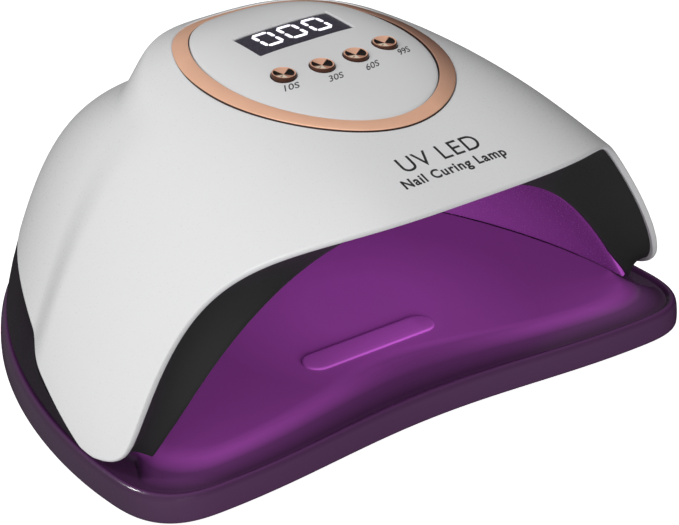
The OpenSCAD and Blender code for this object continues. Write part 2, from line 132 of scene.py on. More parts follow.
# Console
RING_W = 41.9                  # half width of the trim ring
RING_Y = -18.0                 # depth of the console's centre
RING_FRONT = 50.0              # reach of the ring in front of that centre
RING_REAR = 52.1               # reach of the ring behind it
RING_BAND = 5.4                # width of the band
RING_SINK = 0.8                # how much deeper the ring lies at the rear
RING_STEPS = 360               # points round the ring and the panel
SEAM = 0.3                     # visible gap on either side of the trim ring
CONSOLE_TILT = math.radians(4)
PANEL_T = 2.4
PANEL_RISE = 1.8               # how far the console's face bulges above the housing's line
HOLE_R = 4.25                  # radius of a button's hole
CAP_R = 4.05
CAP_PROUD = 1.1                # how far a button stands above its seat
CAP_RIM_R = 3.65               # radius of a cap's highest edge
WINDOW_HALF = (WINDOW_HIGH[:2] - WINDOW_LOW[:2]) / 2
WINDOW_MIDDLE = (WINDOW_HIGH[:2] + WINDOW_LOW[:2]) / 2
WINDOW_SINK = 0.6              # how far the glass lies below the console's face
WINDOW_T = 1.2
DIGIT_PITCH = 9.85
DIGIT_SHIFT = (0.4, 1.5)       # from the window's middle to the middle of the digits
INK_H = 0.12                   # thickness of the lettering
TIMES = ("10s", "30s", "60s", "99s")

# Light
ROOM_LIGHT = (0.0, 0.66)       # lowest and highest brightness of the room
BRIGHT_SIDE = (-0.82, -0.12, 0.56)


# ---- shape functions, all on numpy arrays ----

def smooth(v):
    """Soft step from 0 to 1."""
    t = np.clip(v, 0, 1)
    return t * t * (3 - 2 * t)


def half_width(y, w, tail):
    """Half width of the plan outline at depth y, for a greatest half width w."""
    t = np.clip((y - WIDEST_Y) / (tail - WIDEST_Y), 0, 1)
    return w * np.sqrt(1 - t ** 1.8)


def crown(y):
    """Height of the housing over its centre line."""
    reach = TAIL_Y + RIDGE_Y
    front = CROWN_Z - (CROWN_Z - BRIM_Z) * (np.clip(RIDGE_Y - y, 0, None) / reach) ** 2
    back = np.clip((y - RIDGE_Y) / (TAIL_Y - RIDGE_Y), 0, 1)
    rear = SKIRT_Z + (CROWN_Z - SKIRT_Z) * (1 - back ** 1.75) ** 0.51
    return np.where(y < RIDGE_Y, front, rear)


def shoulder_drop(x, y):
    """How far the flank lies below the raised cap round the console."""
    a = np.degrees(np.arctan2(y - RING_Y, np.abs(x)))
    r = np.hypot(x, y - RING_Y)
    edge = 52.7 + 4.3 * np.sin(np.radians(a)) ** 2
    return 14.6 * smooth((a + 2) / 66) * smooth((r - edge) / 10.5)


def section(u, y):
    """Share of the height reached at u of the half width; the front flank is the fuller."""
    return (1 - u ** 3.4) ** 1.12 + 0.65 * smooth((10 - y) / 20) * u ** 7 * np.sqrt(1 - u)


def shell_z(x, y, inset=0.0):
    """Height of the housing's outer face; inset moves the face inwards."""
    w = half_width(y, SHELL_W - inset, TAIL_Y - inset)
    u = np.clip(np.abs(x) / np.maximum(w, 0.01), 0, 1)
    rise = np.maximum(0, crown(y) - inset - shoulder_drop(x, y) * (1 - u * u) - SKIRT_Z)
    return SKIRT_Z + rise * section(u, y)


def visor_y(z):
    """Front edge of the housing in side view: a visor that leans forward as it rises."""
    s = np.clip((z - FOOT_TIP_Z) / (BRIM_Z - FOOT_TIP_Z), 0, 1.1)
    return -56.9 - 11.8 * (1 - np.exp(-s / 0.07)) - 33 * s ** 6


def hem_z(y):
    """Lower edge of the housing: low at the feet, higher towards the tail."""
    return 12.6 + 18.6 * np.sin(np.pi / 2 * np.clip((y + 42) / 90, 0, 1))


def trim(p):
    """Positive where the housing exists, with a rounded corner where its two edges meet."""
    a = p[..., 1] - visor_y(p[..., 2])
    b = p[..., 2] - hem_z(p[..., 1])
    blend = 9.0
    h = np.clip(0.5 + 0.5 * (b - a) / blend, 0, 1)
    return a * h + b * (1 - h) - blend * h * (1 - h)


def ovoid_r(a, grow=0.0):
    """Distance from the console's centre to its ovoid outline at angle a."""
    long = np.where(np.sin(a) < 0, RING_FRONT, RING_REAR) + grow
    wide = RING_W + grow
    return 1 / np.hypot(np.cos(a) / wide, np.sin(a) / long)


def panel_z(x, y):
    """Height of the console's bulging face."""
    a = np.arctan2(y - RING_Y, x)
    share = np.hypot(x, y - RING_Y) / ovoid_r(a, -RING_BAND - SEAM)
    return shell_z(x, y) + PANEL_RISE * (1 - np.clip(share, 0, 1) ** 4)


def on_shell(a, r, inset=0.0):
    """Points on the housing's face at angle a and distance r from the console's centre."""
    x = r * np.cos(a)
    y = RING_Y + r * np.sin(a)
    return np.stack([x, y, shell_z(x, y, inset)], -1)


def solve(low, high, inside, rounds=34):
    """Bisection on arrays: the value between low and high at which inside() turns false."""
    for _ in range(rounds):
        middle = (low + high) / 2
        yes = inside(middle)
        low = np.where(yes, middle, low)
        high = np.where(yes, high, middle)
    return low


def full_turn(count):
    return np.linspace(0, 2 * np.pi, count, endpoint=False)


def unit(v):
    return v / np.maximum(np.linalg.norm(v, axis=-1, keepdims=True), 1e-9)


def tunnel_w(y, grow=0.0):
    """Half width of the hand cavity's liner at depth y."""
    t = np.clip((y + 55) / (132 + grow), 0, 1)
    return (TUNNEL_W + grow) * np.sqrt(1 - t ** 1.8)


def tunnel_z(x, y, grow=0.0):
    """Height of the hand cavity's liner."""
    u = np.clip(np.abs(x) / np.maximum(tunnel_w(y, grow), 0.01), 0, 1)
    t = np.clip((y - TUNNEL_START) / (TUNNEL_DEPTH + grow), 0, 1)
    return FLOOR_Z + 0.2 + (TUNNEL_H + grow) * (1 - t ** 2.6) ** 0.8 * (1 - u ** 2.7) ** 1.05


def mouth_y(x):
    """Depth of the liner's front edge, which curves back towards the feet."""
    return -75.8 + 13.2 * (np.abs(x) / 94) ** 1.6


# ---- mesh helpers ----

def make_object(name, mesh):
    piece = bpy.data.objects.new(name, mesh)
    bpy.context.scene.collection.objects.link(piece)
    return piece


def shade(piece, angle=38):
    """Smooth shading, kept crisp at edges sharper than angle."""
    piece.data.polygons.foreach_set("use_smooth", [True] * len(piece.data.polygons))
    piece.data.set_sharp_from_angle(angle=math.radians(angle))


def build(name, points, faces, angle=38):
    """A closed mesh from millimetre points, with its faces turned outwards."""
    mesh = bpy.data.meshes.new(name)
    mesh.from_pydata([tuple(p) for p in np.asarray(points, float) * MM], [], faces)
    work = bmesh.new()
    work.from_mesh(mesh)
    bmesh.ops.recalc_face_normals(work, faces=work.faces)
    work.to_mesh(mesh)
    work.free()
    piece = make_object(name, mesh)
    shade(piece, angle)
    return piece


def loft_parts(sections, ring=False, start=0):
    """Points and faces of a body whose sections are closed loops, capped unless it is a ring."""
    count, size = sections.shape[:2]
    faces = []
    for i in range(count if ring else count - 1):
        near = start + i * size
        far = start + (i + 1) % count * size
        for j in range(size):
            k = (j + 1) % size
            faces.append((near + j, near + k, far + k, far + j))
    if not ring:
        faces.append(tuple(start + j for j in range(size)))
        faces.append(tuple(start + (count - 1) * size + j for j in range(size)))
    return sections.reshape(-1, 3), faces


def loft(name, sections, ring=False, angle=38):
    points, faces = loft_parts(sections, ring)
    return build(name, points, faces, angle)


def loft_many(name, bodies, angle=38):
    """One piece made of several separate lofted bodies."""
    points, faces = [], []
    total = 0
    for sections in bodies:
        more_points, more_faces = loft_parts(sections, start=total)
        points.append(more_points)
        faces.extend(more_faces)
        total += len(more_points)
    return build(name, np.concatenate(points), faces, angle)


def carve(piece, cutter, angle=38):
    """Cuts the cutter's volume out of the piece."""
    cut = piece.modifiers.new("cut", "BOOLEAN")
    cut.operation = "DIFFERENCE"
    cut.solver = "EXACT"
    cut.object = cutter
    graph = bpy.context.evaluated_depsgraph_get()
    mesh = bpy.data.meshes.new_from_object(piece.evaluated_get(graph))
    piece.modifiers.clear()
    piece.data = mesh
    bpy.data.objects.remove(cutter)
    shade(piece, angle)


def rounded(profile, times=2):
    """Cuts the corners of an open profile, keeping its two ends."""
    p = np.asarray(profile, float)
    for _ in range(times):
        near = 0.75 * p[:-1] + 0.25 * p[1:]
        far = 0.25 * p[:-1] + 0.75 * p[1:]
        p = np.concatenate([p[:1], np.stack([near, far], 1).reshape(-1, p.shape[1]), p[-1:]])
    return p


def sheet_normals(sheet, ring):
    """Normals of a grid of points, pointing up."""
    if ring:
        across = np.roll(sheet, -1, 1) - np.roll(sheet, 1, 1)
    else:
        across = np.gradient(sheet, axis=1)
    n = unit(np.cross(across, np.gradient(sheet, axis=0)))
    return -n if n[..., 2].mean() < 0 else n


def edge_roll(row, normal, away, wall, bulge, steps=7):
    """Rows that carry an edge round from one face of a wall to the other."""
    rows = []
    for k in range(1, steps):
        turn = math.pi * k / steps
        lift = -wall / 2 * (1 - math.cos(turn))
        rows.append(row + normal * lift + away * bulge * math.sin(turn))
    return np.array(rows)


def thick_sheet(sheet, wall, bulges, ring=True):
    """Closed sections of a sheet given a wall thickness below it, with both edges rounded."""
    n = sheet_normals(sheet, ring)
    first = unit(sheet[0] - sheet[1])
    last = unit(sheet[-1] - sheet[-2])
    loop = np.concatenate([
        sheet,
        edge_roll(sheet[-1], n[-1], last, wall, bulges[1]),
        (sheet - n * wall)[::-1],
        edge_roll(sheet[0], n[0], first, wall, bulges[0])[::-1],
    ])
    return loop.transpose(1, 0, 2)


def lathe(profile, count=48):
    """Sections of a turned body from (radius, height) pairs, round the local Z axis."""
    a = full_turn(count)
    return np.array([
        np.stack([r * np.cos(a), r * np.sin(a), np.full(count, z)], -1) for r, z in profile
    ])


def placed(sections, origin, axis=(0, 0, 1)):
    """Moves sections so that local Z runs along axis, from origin."""
    turn = np.array(Vector(axis).to_track_quat("Z", "Y").to_matrix())
    return sections @ turn.T + np.array(origin, float)


# ---- base tray ----

def tray_outline():
    """Plan outline of the tray, all the way round."""
    corner_x, corner_power = 84.0, 2 / 3.1
    x = np.linspace(0, corner_x, 90, endpoint=False)
    front = np.stack([x, -80.3 - 2.7 * (1 - np.cos(np.pi * x / corner_x))], -1)
    a = np.linspace(0, np.pi / 2, 70, endpoint=False)
    corner = np.stack([corner_x + (TRAY_W - corner_x) * np.sin(a) ** corner_power,
                       WIDEST_Y - 30.4 * np.cos(a) ** corner_power], -1)
    y = WIDEST_Y + (TAIL_Y - WIDEST_Y) * np.sin(np.linspace(0, np.pi / 2, 150))
    side = np.stack([half_width(y, TRAY_W, TAIL_Y), y], -1)
    half = np.concatenate([front, corner, side])
    mirrored = half[-2:0:-1] * (-1, 1)
    return np.concatenate([half, mirrored])


def inward(outline, distance):
    """Draws plan points in towards the tray's middle by a distance."""
    v = outline - TRAY_MIDDLE
    away = np.linalg.norm(v, axis=-1, keepdims=True)
    return TRAY_MIDDLE + v * (1 - np.reshape(distance, (-1, 1)) / away)


def at_height(plan, z):
    return np.concatenate([plan, np.full((len(plan), 1), 1.0) * np.reshape(z, (-1, 1))], -1)


def make_tray():
    outline = tray_outline()
    lip = rounded([
        (9.8, TRAY_FOOT_Z), (9.2, TRAY_FOOT_Z + 0.7), (8.4, TRAY_FOOT_Z + 0.7), (7.8, TRAY_FOOT_Z),
        (1.2, TRAY_FOOT_Z), (0.3, TRAY_FOOT_Z + 0.3), (0, TRAY_FOOT_Z + 1.2), (0, TRAY_FOOT_Z + 4.5),
        (0.4, RIM_Z - 1.8), (1.3, RIM_Z - 0.3), (2.4, RIM_Z), (3.4, RIM_Z - 0.9), (3.9, 10.0),
    ])
    rings = [at_height(inward(outline, inset), z) for inset, z in lip]
    front = smooth((-62 - outline[:, 1]) / 12)
    start = 13.5 + (4.4 - 13.5) * front
    run = 4 + 18 * front
    for t in np.linspace(0, 1, 24):
        plan = inward(outline, start + run * t)
        rings.append(at_height(plan, 9.9 + (FLOOR_Z - 9.9) * math.sin(np.pi / 2 * t)))
    return loft("tray", np.array(rings))


def capsule(half_length, radius, inset, count=24):
    """Plan outline of a bar with round ends, drawn in by inset."""
    a = np.linspace(-np.pi / 2, np.pi / 2, count)
    r = radius - inset
    end = np.stack([half_length + r * np.cos(a), r * np.sin(a)], -1)
    return np.concatenate([end, -end])


def make_finger_bar():
    """The low bar on the tray's floor that the fingertips rest against."""
    middle = np.array([0, FINGER_BAR_Y])
    profile = rounded([(0, -0.4), (0, 0.45), (0.35, 0.8), (1.6, 1.0), (4.0, FINGER_BAR_H)])
    rings = [at_height(middle + capsule(21, 5.2, inset), FLOOR_Z + z) for inset, z in profile]
    return loft("finger_bar", np.array(rings), angle=60)


# ---- housing ----

def shell_sheet(columns=540, rows=110):
    """Outer face of the housing, from the console's opening out to its trimmed edge."""
    a = full_turn(columns)
    full = solve(
        np.full(columns, 30.0), np.full(columns, 170.0),
        lambda r: (np.abs(r * np.cos(a)) < half_width(RING_Y + r * np.sin(a), SHELL_W, TAIL_Y))
        & (RING_Y + r * np.sin(a) < TAIL_Y),
    )
    start = ovoid_r(a, SEAM)

    def point(v):
        return on_shell(a, start + (full - start) * np.sin(np.pi / 2 * v))

    edge_inset = 0.7
    stop = solve(np.zeros(columns), np.ones(columns), lambda v: trim(point(v)) > edge_inset)
    share = smooth(np.linspace(0, 1, rows)) * 0.5 + np.linspace(0, 1, rows) * 0.5
    return np.array([point(s * stop) for s in share])


def vent_cutters():
    """Upright slots in the rear of the housing, with round ends."""
    bodies = []
    outline = capsule(VENT_HALF, VENT_R, 0)
    for x in np.arange(-VENT_SPAN, VENT_SPAN + 1, VENT_PITCH):
        slot = [np.stack([x + outline[:, 1], np.full(len(outline), y), VENT_Z + outline[:, 0]], -1)
                for y in (60, 110)]
        bodies.append(np.array(slot))
    return loft_many("vent_cutter", bodies)


def make_top_shell():
    shell = loft("top_shell_skin", thick_sheet(shell_sheet(), WALL, (0.4, 0.9)), ring=True)
    carve(shell, vent_cutters())
    return shell


def frame_path(count=170):
    """Plan outline of the lower frame, from one front end round the tail to the other."""
    start_y = -40.0
    y = start_y + (TAIL_Y - start_y) * np.sin(np.linspace(0, np.pi / 2, count))
    side = np.stack([half_width(y, TRAY_W, TAIL_Y), y], -1)
    return np.concatenate([side, side[-2::-1] * (-1, 1)])


def hem_inset(path):
    """Inset from the tray's outline at which the housing's face meets its lower edge."""
    def too_far_in(distance):
        p = inward(path, distance)
        return shell_z(p[:, 0], p[:, 1]) <= hem_z(p[:, 1])
    low = np.full(len(path), 1.5)
    return solve(low, low + 30.5, too_far_in, 24)


def make_lower_frame():
    """Dark band under the housing; each row is (inset, share of the lean, share of the height)."""
    path = frame_path()
    lean = np.maximum(0, hem_inset(path) - FRAME_INSET)
    low = RIM_Z + 0.4
    face, back = FRAME_INSET, FRAME_INSET + FRAME_T
    outer = [(FLANGE_W, 0, 0), (face + 0.9, 0, 0), (face + 0.2, 0, 0.05), (face, 0, 0.13),
             (face, 0.12, 0.3), (face, 0.42, 0.58), (face, 0.8, 0.85), (face, 1, 0.96),
             (face + 0.4, 1, 1)]
    inner = [(back - 0.4, 1, 1), (back, 1, 0.94), (back, 0.7, 0.7), (back, 0.3, 0.35),
             (back + 0.2, 0, 0.22), (FLANGE_W, 0, 0.22)]
    rows = []
    for inset, share, height in outer + inner:
        p = inward(path, inset + lean * share)
        high = hem_z(p[:, 1]) - GAP
        rows.append(at_height(p, low + (high - low) * height))
    band = loft("lower_frame_band", np.array(rows).transpose(1, 0, 2), angle=45)
    socket_z = (SOCKET_LOW[2] + SOCKET_HIGH[2]) / 2
    hole = lathe([(SOCKET_HOLE_R, 0), (SOCKET_HOLE_R, 40)])
    hole = placed(hole, (0, 80, socket_z), (0, 1, 0))
    carve(band, loft_many("socket_cutter", [hole]), angle=45)
    return band


def bezel_edges(s):
    """Outer edge of the bezel, let into the housing's wall, and its inner edge round the mouth."""
    x = s * (SHELL_W - WALL)
    y = solve(
        np.full(len(s), -45.0), np.full(len(s), -108.0),
        lambda y: y > visor_y(shell_z(x, y, BEZEL_INSET)) + BEZEL_BEHIND,
    )
    outer = np.stack([x, y, shell_z(x, y, BEZEL_INSET)], -1)
    x = s * TUNNEL_W
    inner = np.stack([x, mouth_y(x) - 2.2, tunnel_z(x, TUNNEL_START, 0.4)], -1)
    foot = smooth((np.abs(s) - 0.9) / 0.1)[:, None]
    inner += (outer - inner) * (0.15, 0.15, 0) * foot
    return outer, inner


def make_bezel():
    s = np.sin(np.radians(np.linspace(-88, 88, 260)))
    outer, inner = bezel_edges(s)
    share = np.linspace(0, 1, 14)[:, None, None]
    sheet = outer + (inner - outer) * share
    bow = 1.6 * np.sin(np.pi * share) * np.array([0, 1, 0.5])
    loops = thick_sheet(sheet + bow, -BEZEL_T, (0.3, 0.5), ring=False)
    return loft("front_bezel_lip", loops, angle=50)


def make_liner():
    """The glossy lining of the hand cavity."""
    s = np.sin(np.linspace(-np.pi / 2, np.pi / 2, 200))
    mouth = mouth_y(s * TUNNEL_W)
    rows = []
    for t in np.sin(np.radians(np.linspace(0, 88, 60))):
        y = mouth + (TUNNEL_DEPTH + TUNNEL_START - mouth) * t * 0.985
        x = s * tunnel_w(y)
        rows.append(np.stack([x, y, tunnel_z(x, y)], -1))
    return loft("cavity_liner", thick_sheet(np.array(rows), -TUNNEL_T, (0.6, 0.3), ring=False))


def tunnel_normal(x, y):
    """Direction out of the liner, away from the hand."""
    step = 0.5
    return unit(np.array([tunnel_z(x - step, y) - tunnel_z(x + step, y),
                          tunnel_z(x, y - step) - tunnel_z(x, y + step), 2 * step]))


def led_spots():
    """Plan places of the light beads."""
    middle = [(x, y) for x in (-24, 0, 24) for y in (-46, -14, 18)]
    sides = [(x, y) for x in (-58, 58) for y in (-42, -12, 16)]
    low = [(x, y) for x in (-72, 72) for y in (-8, 15)]
    return middle + sides + low + [(-24, 44), (24, 44)]


def make_led_beads():
    """Domed lens and collar of each lamp, set through the liner."""
    dome = [(0.02, -2.6)] + [(LENS_R * math.sin(a), -0.9 - 1.7 * math.cos(a))
                             for a in np.linspace(0.2, np.pi / 2, 9)]
    collar = [(LENS_R, -0.5), (COLLAR_R - 0.3, -0.5), (COLLAR_R, -0.25), (COLLAR_R, 0.3),
              (COLLAR_R - 0.4, 0.6), (COLLAR_R - 0.4, 3), (0.02, 3)]
    bodies = []
    for x, y in led_spots():
        base = (x, y, float(tunnel_z(x, y)))
        bodies.append(placed(lathe(dome + collar, 28), base, tunnel_normal(x, y)))
    return loft_many("led_lenses", bodies, angle=50)


# ---- console ----

def console_ring(scale, grow, lift):
    """A closed row of points over the housing, on the console's ovoid outline."""
    a = full_turn(RING_STEPS)
    r = ovoid_r(a, grow) * scale
    row = on_shell(a, r)
    row[:, 2] += lift
    return row


def make_trim_ring():
    """Rose-gold band round the console, a little deeper at the rear than in front."""
    section = rounded([
        (0, -2.2), (0, 0.2), (-0.1, 0.45), (-0.5, 0.58), (-RING_BAND / 2, 0.7),
        (-RING_BAND + 0.5, 0.58), (-RING_BAND + 0.1, 0.45), (-RING_BAND, 0.2), (-RING_BAND, -2.2),
    ])
    sink = np.zeros((RING_STEPS, 3))
    sink[:, 2] = RING_SINK * smooth(np.sin(full_turn(RING_STEPS)) * 1.4)
    rows = [console_ring(1, grow, lift) - sink for grow, lift in section]
    return loft("trim_ring_band", np.array(rows).transpose(1, 0, 2), ring=True)


def make_panel_blank():
    """The console's panel before its openings are cut."""
    edge = -RING_BAND - SEAM
    under = [(s, 0, -PANEL_T) for s in np.linspace(0.01, 0.985, 18)]
    rim = [(1, 0, -1.9), (1, 0, -0.5), (1, -0.1, -0.2), (1, -0.35, -0.03)]
    top = [(s, 0, 0) for s in np.linspace(0.975, 0.01, 60)]
    rows = [console_ring(s, edge + grow, lift + PANEL_RISE * (1 - s ** 4))
            for s, grow, lift in under + rim + top]
    return loft("control_panel_face", np.array(rows))


def console_axis():
    """Direction in which the buttons point."""
    return Vector((0, -math.sin(CONSOLE_TILT), math.cos(CONSOLE_TILT)))


def button_seat(time):
    """Centre of a button's cap on the panel's face."""
    low, high = mm_box("button_cap_" + time)
    rim = CAP_RIM_R * math.sin(CONSOLE_TILT)
    top = Vector(((low[0] + high[0]) / 2, (low[1] + high[1]) / 2, high[2] - rim))
    return top - Vector((0, 0, console_axis().z * CAP_PROUD))


def window_plan(grow, corner=0.5, count=8, side=40):
    """Outline of the display window, with small round corners and finely divided sides."""
    half = WINDOW_HALF + grow
    arcs = []
    for turn, (sx, sy) in enumerate(((1, 1), (-1, 1), (-1, -1), (1, -1))):
        a = np.linspace(0, np.pi / 2, count) + turn * np.pi / 2
        centre = WINDOW_MIDDLE + (half - corner) * (sx, sy)
        arcs.append(centre + corner * np.stack([np.cos(a), np.sin(a)], -1))
    plan = []
    for k, arc in enumerate(arcs):
        ahead = arcs[(k + 1) % 4][0]
        share = np.linspace(0, 1, side, endpoint=False)[1:, None]
        plan += [arc, arc[-1] + (ahead - arc[-1]) * share]
    return np.concatenate(plan)


def over_panel(plan, lift):
    """Plan points laid on the panel's face, or lift above it."""
    return at_height(plan, panel_z(plan[:, 0], plan[:, 1]) + lift)


def make_panel_cutters():
    """Openings for the buttons and the display, each flaring at the panel's face."""
    below, above = -6, 4
    flare = HOLE_R + 0.15
    a = full_turn(48)
    bodies = []
    for time in TIMES:
        seat = button_seat(time)
        rows = []
        for radius, lift in ((HOLE_R, below), (HOLE_R, -0.25), (flare, 0.02), (flare, above)):
            plan = np.stack([seat.x + radius * np.cos(a), seat.y + radius * np.sin(a)], -1)
            rows.append(over_panel(plan, lift))
        bodies.append(np.array(rows))
    rows = [over_panel(window_plan(grow), lift)
            for grow, lift in ((0.2, below), (0.2, -0.35), (0.5, 0.02), (0.5, above))]
    bodies.append(np.array(rows))
    return loft_many("panel_cutter", bodies)


def make_control_panel():
    panel = make_panel_blank()
    carve(panel, make_panel_cutters())
    return panel


def make_window():
    """Smoked display glass, curved like the panel and sunk a little below it."""
    (half_x, half_y), (mid_x, mid_y) = WINDOW_HALF, WINDOW_MIDDLE
    across = np.linspace(-half_y, half_y, 16)
    y = mid_y + np.concatenate([across, -across])
    loops = []
    for x in mid_x + np.linspace(-half_x, half_x, 60):
        z = panel_z(x, y) - WINDOW_SINK
        z[len(across):] -= WINDOW_T
        loops.append(np.stack([np.full(len(y), x), y, z], -1))
    return loft("display_glass", np.array(loops), angle=30)


def digit_bars():
    """Plan outlines of the six lit bars of a zero, each with pointed ends."""
    half_w, half_h = 3.05, 4.2
    thick, slant, joint = 1.25, -0.06, 0.22
    corners = [(-half_w, -half_h), (half_w, -half_h), (half_w, 0), (half_w, half_h),
               (-half_w, half_h), (-half_w, 0)]
    bars = []
    for k, corner in enumerate(corners):
        p = np.array(corner)
        q = np.array(corners[(k + 1) % len(corners)])
        along = (q - p) / np.linalg.norm(q - p)
        side = np.array([-along[1], along[0]]) * thick / 2
        point = along * thick / 2
        p = p + along * joint
        q = q - along * joint
        bar = np.array([p, p + point + side, q - point + side, q, q - point - side, p + point - side])
        bar[:, 0] += bar[:, 1] * slant
        bars.append(bar)
    return bars


def make_digits():
    """Three lit zeros, lying on the glass."""
    middle = WINDOW_MIDDLE + DIGIT_SHIFT
    bodies = []
    for column in (-1, 0, 1):
        for bar in digit_bars():
            plan = bar + middle + (column * DIGIT_PITCH, 0)
            bodies.append(np.array([over_panel(plan, lift - WINDOW_SINK) for lift in (-0.1, 0.12)]))
    return loft_many("display_zeros", bodies)


def make_cap(time):
    """A spun-metal button cap: a bevelled rim round a shallow cone."""
    centre, cone_r = 0.02, 3.4
    shoulder = (CAP_R - 0.2, 0.92)
    side = rounded([(centre, -1.2), (CAP_R, -1.2), (CAP_R, 0.4), (CAP_R - 0.05, 0.7), shoulder])
    rim = rounded([shoulder, (3.75, 0.98), (3.62, 0.97), (3.5, 0.9)])
    cone = [(r, 0.27 + 0.6 * (r / cone_r) ** 1.15) for r in np.linspace(cone_r, centre, 16)]
    body = lathe(list(side) + list(rim[1:]) + cone, 96)
    return loft("cap_" + time, placed(body, button_seat(time), console_axis()), angle=50)


# ---- lettering ----

def flat_text(words, size, bold=0.0, spacing=1.0):
    """A flat mesh of the words, in millimetres, centred on the origin along X."""
    curve = bpy.data.curves.new("words", "FONT")
    curve.body = words
    curve.size = size
    curve.align_x = "CENTER"
    curve.offset = bold
    curve.space_character = spacing
    curve.resolution_u = 6
    holder = make_object("words", curve)
    graph = bpy.context.evaluated_depsgraph_get()
    mesh = bpy.data.meshes.new_from_object(holder.evaluated_get(graph))
    bpy.data.objects.remove(holder)
    return mesh


def print_on(name, jobs):
    """One inked piece from several (mesh, place) pairs; place maps flat x, y to the surface."""
    ink = bmesh.new()
    for mesh, place in jobs:
        part = bmesh.new()
        part.from_mesh(mesh)
        xs = [v.co.x for v in part.verts]
        for x in np.arange(math.floor(min(xs)), max(xs), 1.0):
            whole = part.verts[:] + part.edges[:] + part.faces[:]
            bmesh.ops.bisect_plane(part, geom=whole, plane_co=(x, 0, 0), plane_no=(1, 0, 0))
        for v in part.verts:
            v.co = Vector(place(v.co.x, v.co.y)) * MM
        part.to_mesh(mesh)
        part.free()
        ink.from_mesh(mesh)
    bmesh.ops.remove_doubles(ink, verts=ink.verts, dist=1e-7)
    bmesh.ops.recalc_face_normals(ink, faces=ink.faces)
    if sum(f.normal.z for f in ink.faces) < 0:
        bmesh.ops.reverse_faces(ink, faces=ink.faces)
    grown = bmesh.ops.extrude_face_region(ink, geom=ink.faces[:])["geom"]
    raised = [item for item in grown if isinstance(item, bmesh.types.BMVert)]
    bmesh.ops.translate(ink, verts=raised, vec=(0, 0, INK_H * MM))
    bmesh.ops.recalc_face_normals(ink, faces=ink.faces)
    out = bpy.data.meshes.new(name)
    ink.to_mesh(out)
    ink.free()
    return make_object(name, out)


def surface_place(height, centre, turn=0.0, shear=0.0, lift=-0.05):
    """Maps flat text onto a surface round a plan point, turned by degrees."""
    c, s = math.cos(math.radians(turn)), math.sin(math.radians(turn))

    def place(x, y):
        x = x + y * shear
        px = centre[0] + c * x - s * y
        py = centre[1] + s * x + c * y
        return px, py, float(height(px, py)) + lift
    return place


def make_time_labels():
    """The buttons' times, in an arc in front of them."""
    size = 4.1
    turns = (-13, 1, 8, 15)
    shears = (0.32, 0.57, 0.69, 0.7)
    centres = ((-23.0, -36.1), (-7.7, -39.5), (7.0, -39.5), (22.9, -35.9))
    jobs = []
    for time, turn, shear, centre in zip(TIMES, turns, shears, centres):
        jobs.append((flat_text(time.upper(), size), surface_place(panel_z, centre, turn, shear)))
    return print_on("time_labels", jobs)


def make_front_words():
    """Plain functional wording on the brim."""
    jobs = [
        (flat_text("UV LED", 9.0, 0.0, 1.08), surface_place(shell_z, (-1.3, -85.2))),
        (flat_text("Nail Curing Lamp", 5.0, 0.12, 1.13), surface_place(shell_z, (-1.0, -91.0))),
    ]
    return print_on("front_words", jobs)


# ---- materials ----

def screen(red, green, blue):
    """Linear colour of a 0-255 screen colour."""
    def linear(value):
        value /= 255
        return value / 12.92 if value <= 0.04045 else ((value + 0.055) / 1.055) ** 2.4
    return linear(red), linear(green), linear(blue), 1.0


def scaled(colour, factor):
    """A colour made lighter or darker by a factor."""
    return tuple(min(1.0, c * factor) for c in colour[:3]) + (1.0,)


class Shader:
    """A material's node tree, with short calls to add and link nodes."""

    def __init__(self, name):
        self.material = bpy.data.materials.new(name)
        self.material.use_nodes = True
        self.tree = self.material.node_tree
        self.tree.nodes.clear()
        self.out = self.add("ShaderNodeOutputMaterial")
        self.body = self.add("ShaderNodeBsdfPrincipled")
        self.tree.links.new(self.body.outputs[0], self.out.inputs[0])
        self.where = self.add("ShaderNodeTexCoord").outputs["Object"]

    def add(self, kind, inputs=None, **settings):
        made = self.tree.nodes.new(kind)
        for key, value in settings.items():
            setattr(made, key, value)
        for key, value in (inputs or {}).items():
            self.put(made.inputs[key], value)
        return made

    def put(self, socket, value):
        if isinstance(value, bpy.types.NodeSocket):
            self.tree.links.new(value, socket)
        else:
            socket.default_value = value

    def axis(self, index, vector=None):
        """One component of a vector, which is the place on the object unless another is given."""
        return self.add("ShaderNodeSeparateXYZ", {0: vector or self.where}).outputs[index]

    def noise(self, scale, detail=3.0):
        return self.add("ShaderNodeTexNoise", {
            "Vector": self.where, "Scale": scale, "Detail": detail}).outputs[0]

    def uneven(self, scale, low, high):
        """A value that wanders between low and high."""
        return self.spread(self.noise(scale, 2), low, high, 0.3, 0.7)

    def ramp(self, value, stops):
        """Colour along value, from (place, colour) stops in rising order."""
        made = self.add("ShaderNodeValToRGB", {0: value})
        elements = made.color_ramp.elements
        while len(elements) < len(stops):
            elements.new(0.5)
        for element, (place, colour) in zip(elements, stops):
            element.position = place
            element.color = colour
        return made.outputs[0]

    def spread(self, value, low, high, start=0.0, end=1.0):
        """Maps start..end of a value to low..high."""
        return self.add("ShaderNodeMapRange", {
            0: value, 1: start, 2: end, 3: low, 4: high}).outputs[0]

    def mix(self, factor, a, b, how="MIX"):
        made = self.add("ShaderNodeMix", data_type="RGBA", blend_type=how)
        self.put(made.inputs[0], factor)
        self.put(made.inputs[6], a)
        self.put(made.inputs[7], b)
        return made.outputs[2]

    def math(self, how, a, b=0.0):
        return self.add("ShaderNodeMath", {0: a, 1: b}, operation=how).outputs[0]

    def set(self, **values):
        for key, value in values.items():
            self.put(self.body.inputs[key.replace("_", " ")], value)

    def bump(self, height, strength, distance):
        made = self.add("ShaderNodeBump", {
            "Height": height, "Strength": strength, "Distance": distance})
        self.put(self.body.inputs["Normal"], made.outputs[0])


